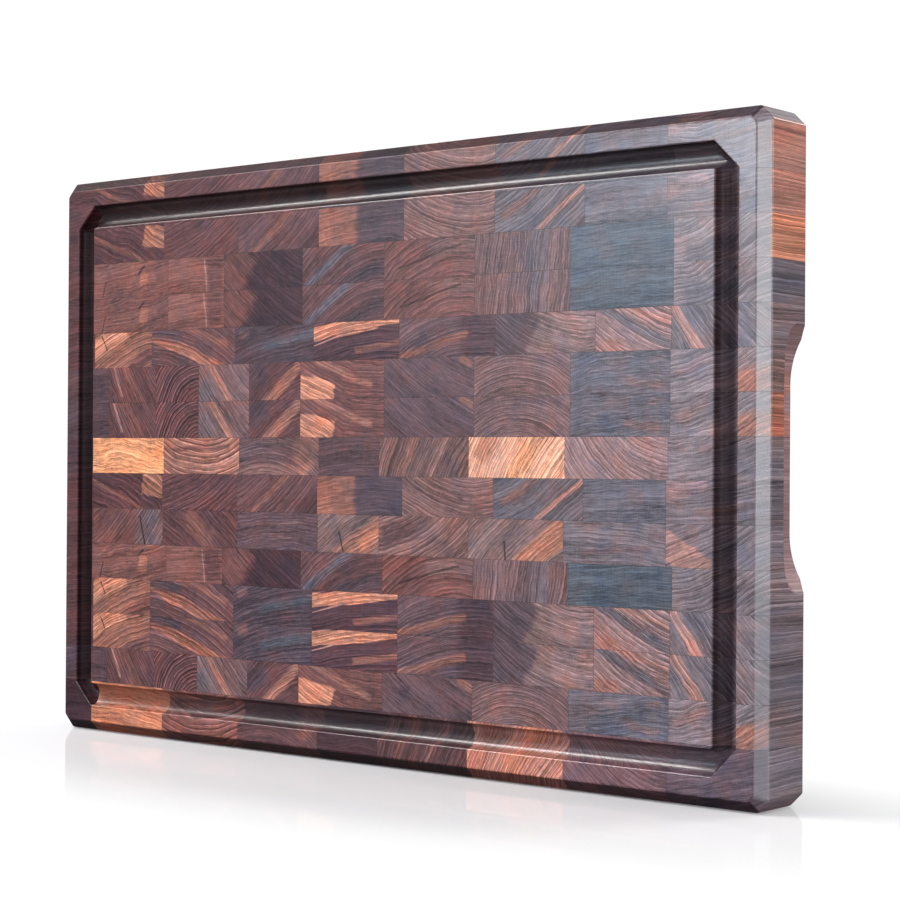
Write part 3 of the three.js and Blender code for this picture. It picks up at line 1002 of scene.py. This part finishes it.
        # Painted shade in the groove, less on its lit lower run and the right run's outer wall, and
        # on the long bevels
        shade_amount = self.math("MAXIMUM", self.product(in_groove, groove_shade), bevel_shade)
        colour = self.mix(shade_amount, colour, self.mix(1.0, colour, PAINTED_SHADE, "MULTIPLY"))
        # Pale painted highlight on the front bevels of the two ends
        front_highlight = self.product(self.ramp(self.below, EDGE_BEVEL + 1, EDGE_BEVEL), BEVEL_PAINTED_HIGHLIGHT)
        return self.mix(self.product(end_bevel, front_highlight), colour, PAINTED_HIGHLIGHT)

    def blushed(self, colour):
        """The scoops are left paler and pinker than the oiled faces."""
        beside = self.math("ABSOLUTE", self.math("SUBTRACT", self.height, MIDDLE_Z))
        scooped = self.product(
            self.ramp(self.from_end, 0.4, 1.0),
            self.ramp(self.from_end, SCOOP_REACH + 1.5, SCOOP_REACH + 0.5),
            self.ramp(self.from_back, 0.3, 1.2),
            self.ramp(self.from_back, SCOOP_RISE + 1, SCOOP_RISE),
            self.ramp(beside, SCOOP_LENGTH / 2 + 3, SCOOP_LENGTH / 2 + 1), SCOOP_BLUSH)
        return self.mix(scooped, colour, SCOOPED)

    def glue_line(self):
        """1 at a block's glued sides and 0 away from them."""
        low = self.parts(self.attribute("to_low"))
        high = self.parts(self.attribute("to_high"))
        nearest_low = self.math("MINIMUM", low[0], low[1])
        nearest = self.math("MINIMUM", nearest_low, self.math("MINIMUM", high[0], high[1]))
        return self.math("SUBTRACT", 1.0, self.ramp(nearest, *GLUE_EDGE))

    def relief(self, pores, glue):
        """The surface's normal over pores, streaks and glue lines."""
        height = self.product(pores, PORE_RELIEF)
        for part, share in (
                (self.fine, FINE_RELIEF), (self.lines, LINE_RELIEF), (glue, GLUE_RELIEF)):
            height = self.math("MULTIPLY_ADD", part, share, height)
        bump = self.node("ShaderNodeBump")
        bump.inputs["Strength"].default_value = RELIEF_STRENGTH
        bump.inputs["Distance"].default_value = RELIEF
        self.feed(bump.inputs["Height"], height)
        return bump.outputs[0]


def wood_material(name, roughness, specular, coat):
    """Oiled walnut, end grain on the faces and long grain on the edges."""
    material = bpy.data.materials.new(name)
    w = WoodWiring(material)
    within, late, bright = w.growth_rings()
    pores, chalk = w.pores_and_chalk(within)
    tone = w.drifting(w.marked_tone())
    # Painted shade in the groove and on the long bevels, and a painted highlight on the ends' front
    # bevels
    colour = w.blushed(w.painted_shade_and_highlight(w.figured(tone, pores, chalk, late, bright)))
    glue = w.glue_line()
    colour = w.mix(w.product(glue, GLUE_STRENGTH), colour, GLUE)
    shader = w.node("ShaderNodeBsdfPrincipled")
    w.feed(shader.inputs["Base Color"], colour)
    w.feed(shader.inputs["Normal"], w.relief(pores, glue))
    shader.inputs["Roughness"].default_value = roughness
    shader.inputs["IOR"].default_value = WOOD_IOR
    shader.inputs["Specular IOR Level"].default_value = specular
    shader.inputs["Coat Weight"].default_value = coat
    shader.inputs["Coat Roughness"].default_value = COAT_ROUGHNESS
    w.node("ShaderNodeOutputMaterial", shader.outputs[0])
    return material


WHITE = (1, 1, 1, 1)

# The floor's two mingled tints, the size of a cloud of them, and how far it shines
FLOOR_TINTS = ((0.66, 0.65, 0.66, 1), (0.7, 0.69, 0.7, 1))
FLOOR_CLOUDS = 3.0
FLOOR_SHINE = 0.25
FLOOR_ROUGHNESS = 0.04

# The floor fades to white between two distances from a line 40 mm in front of the board's middle,
# in metres. Distances along the board's length are counted short.
FADE = (0.05, 0.17)
FADE_SHAPE = (0.35, 1.0, 0.0)
FADE_SHIFT = (0.0, 0.04, 0.0)
FADED_GLOW = 0.13
FADED_GLOW_SEEN = 0.9

# To reflected and diffused rays the floor is dim, so that it doesn't light up the bevels
DIM_GLOW = 0.12
DIM_IN_GLOSS = 0.85
DIM_IN_FILL = 0.7


def floor_material():
    """Pale, slightly glossy studio floor that fades into the white of the background."""
    material = bpy.data.materials.new("pale_floor")
    w = Wiring(material)
    here = w.node("ShaderNodeTexCoord").outputs["Object"]
    cloud = w.noise(w.scaled(here, FLOOR_CLOUDS), 3.0)
    matt = w.node("ShaderNodeBsdfDiffuse", w.mix(cloud, *FLOOR_TINTS)).outputs[0]
    gloss = w.node("ShaderNodeBsdfGlossy", WHITE)
    gloss.inputs["Roughness"].default_value = FLOOR_ROUGHNESS
    sheen = w.node("ShaderNodeMixShader", FLOOR_SHINE, matt, gloss.outputs[0]).outputs[0]
    path = w.node("ShaderNodeLightPath").outputs
    glow = w.math("MULTIPLY_ADD", path["Is Camera Ray"], FADED_GLOW_SEEN, FADED_GLOW)
    white = w.node("ShaderNodeEmission", WHITE, glow).outputs[0]
    around = w.vector("ADD", w.vector("MULTIPLY", here, FADE_SHAPE), FADE_SHIFT)
    distance = w.node("ShaderNodeVectorMath", around, operation="LENGTH").outputs["Value"]
    fading = w.node("ShaderNodeMixShader", w.ramp(distance, *FADE), sheen, white).outputs[0]
    dark = w.node("ShaderNodeEmission", WHITE, DIM_GLOW).outputs[0]
    dimmed = w.math(
        "MAXIMUM", w.product(path["Is Glossy Ray"], DIM_IN_GLOSS),
        w.product(path["Is Diffuse Ray"], DIM_IN_FILL))
    w.node(
        "ShaderNodeOutputMaterial",
        w.node("ShaderNodeMixShader", dimmed, fading, dark).outputs[0])
    return material


# ---------------- building

board = shaped_board()
ease_scoop_rims(board)
finishes = (
    wood_material("oiled_walnut", roughness=0.34, specular=0.5, coat=0.3),
    wood_material("oiled_dull", roughness=0.38, specular=0.12, coat=0.0),
)
ordinals = {panel: PANEL_STEP * number for number, panel in enumerate(PANELS, start=1)}
cut_so_far = {panel: 0 for panel in PANELS}
low_z = 0.0
for strip_number, panel in enumerate(STRIP_PANELS, start=1):
    outer = strip_number in (1, STRIP_COUNT)
    high_z = low_z + (OUTER_STRIP if outer else INNER_STRIP)
    node = f"strip_{strip_number:02d}"
    strip = slice_between(
        board, Z_AXIS, low_z if strip_number > 1 else None,
        high_z if strip_number < STRIP_COUNT else None)
    start = 0.0
    for number, block in enumerate(PANELS[panel], start=1):
        last = number == len(PANELS[panel])
        part = slice_between(
            strip, X_AXIS, start - END_X if number > 1 else None,
            None if last else block.end - END_X)
        piece = finish_block(
            part, f"block_{strip_number:02d}_{number:02d}", block, start, (low_z, high_z),
            ordinals[panel] + number, cut_so_far[panel], END_TONES[strip_number - 1], finishes)
        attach(piece, "root")
        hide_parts(node)
        start = block.end
    strip.free()
    cut_so_far[panel] += 1
    low_z = high_z
board.free()


# ---------------- stage, light and camera


# Name, azimuth and elevation in degrees, distance, width and height in metres, watts, tint
SOFTBOXES = (
    ("sheen_box", -23, 16, 2.6, 0.5, 0.6, 23, (0.79, 0.9, 1.0)),
    ("edge_box", 58, 9, 2.4, 0.5, 1.0, 20, (0.94, 0.97, 1.0)),
    ("arris_box", 22, 8, 2.4, 0.2, 1.2, 11, (0.96, 0.98, 1.0)),
    ("end_box", 106, 10, 2.4, 0.8, 0.8, 15, (1.0, 0.97, 0.95)),
    ("key_box", -58, 46, 2.3, 1.0, 0.75, 64, (1.0, 0.98, 0.97)),
    ("back_box", 150, 34, 2.6, 1.0, 1.0, 28, (1.0, 0.97, 0.94)),
)

# The studio's colours and strengths: what reflections see, what fills the shade, what shows
REFLECTED = (0.94, 0.97, 1.0, 1)
REFLECTED_STRENGTH = 0.08
REFLECTED_GLOW = 0.85
FILL = (0.96, 0.99, 1.0, 1)
FILL_STRENGTH = 0.44
SEEN_STRENGTH = 1.05

FLOOR_HALF = 6.0
FLOOR_GAP = 0.0002

# The camera's lens and sensor in millimetres, its place in metres and its angles in degrees
LENS = 85.53
SENSOR = 36.0
CAMERA_PLACE = (0.70384, -0.80849, 0.15069)
CAMERA_ANGLES = (90.289, -0.363, 39.439)


def softbox(name, azimuth, elevation, distance, width, height, power, tint):
    """An area light aimed at the board. Azimuth 0 is in front of the cutting face, 90 at +X."""
    light = bpy.data.lights.new(name, "AREA")
    light.shape = "RECTANGLE"
    light.size = width
    light.size_y = height
    light.energy = power
    light.color = tint
    lamp = add_object(name, light)
    turn, lift = math.radians(azimuth), math.radians(elevation)
    away = Vector((
        math.sin(turn) * math.cos(lift), -math.cos(turn) * math.cos(lift), math.sin(lift)))
    aim = Vector((0, 0, MIDDLE_Z * METRES))
    lamp.location = aim + away * distance
    lamp.rotation_euler = (-away).to_track_quat("-Z", "Y").to_euler()


def studio_world():
    """White to the camera, even fill for the wood, and dim in reflections but for a glow.

    The glow is behind the board on its left.
    """
    world = bpy.data.worlds.new("studio")
    w = Wiring(world)
    toward = w.parts(w.node("ShaderNodeTexCoord").outputs["Generated"])
    glow = w.product(w.ramp(toward[0], 0.0, -0.3), w.ramp(toward[1], 0.1, 0.4))
    strength = w.math("MULTIPLY_ADD", glow, REFLECTED_GLOW, REFLECTED_STRENGTH)
    reflected = w.node("ShaderNodeBackground", REFLECTED, strength).outputs[0]
    fill = w.node("ShaderNodeBackground", FILL, FILL_STRENGTH).outputs[0]
    seen = w.node("ShaderNodeBackground", WHITE, SEEN_STRENGTH).outputs[0]
    path = w.node("ShaderNodeLightPath").outputs
    unseen = w.node("ShaderNodeMixShader", path["Is Glossy Ray"], fill, reflected).outputs[0]
    mixed = w.node("ShaderNodeMixShader", path["Is Camera Ray"], unseen, seen).outputs[0]
    w.node("ShaderNodeOutputWorld", mixed)
    return world


def studio_floor():
    """A wide floor just under the board."""
    mesh = bmesh.new()
    bmesh.ops.create_grid(mesh, x_segments=8, y_segments=8, size=FLOOR_HALF)
    made = as_object(mesh, "floor")
    made.location.z = cad_low.z - FLOOR_GAP
    made.data.materials.append(floor_material())
    return made


def studio_camera():
    """The camera, at the height of the board's middle and in front of its right end."""
    data = bpy.data.cameras.new("camera")
    data.lens = LENS
    data.sensor_width = SENSOR
    made = add_object("camera", data)
    made.location = CAMERA_PLACE
    made.rotation_euler = [math.radians(angle) for angle in CAMERA_ANGLES]
    return made


for box in SOFTBOXES:
    softbox(*box)
bpy.context.scene.world = studio_world()
studio_floor()
bpy.context.scene.camera = studio_camera()
bpy.context.scene.view_settings.view_transform = "Standard"
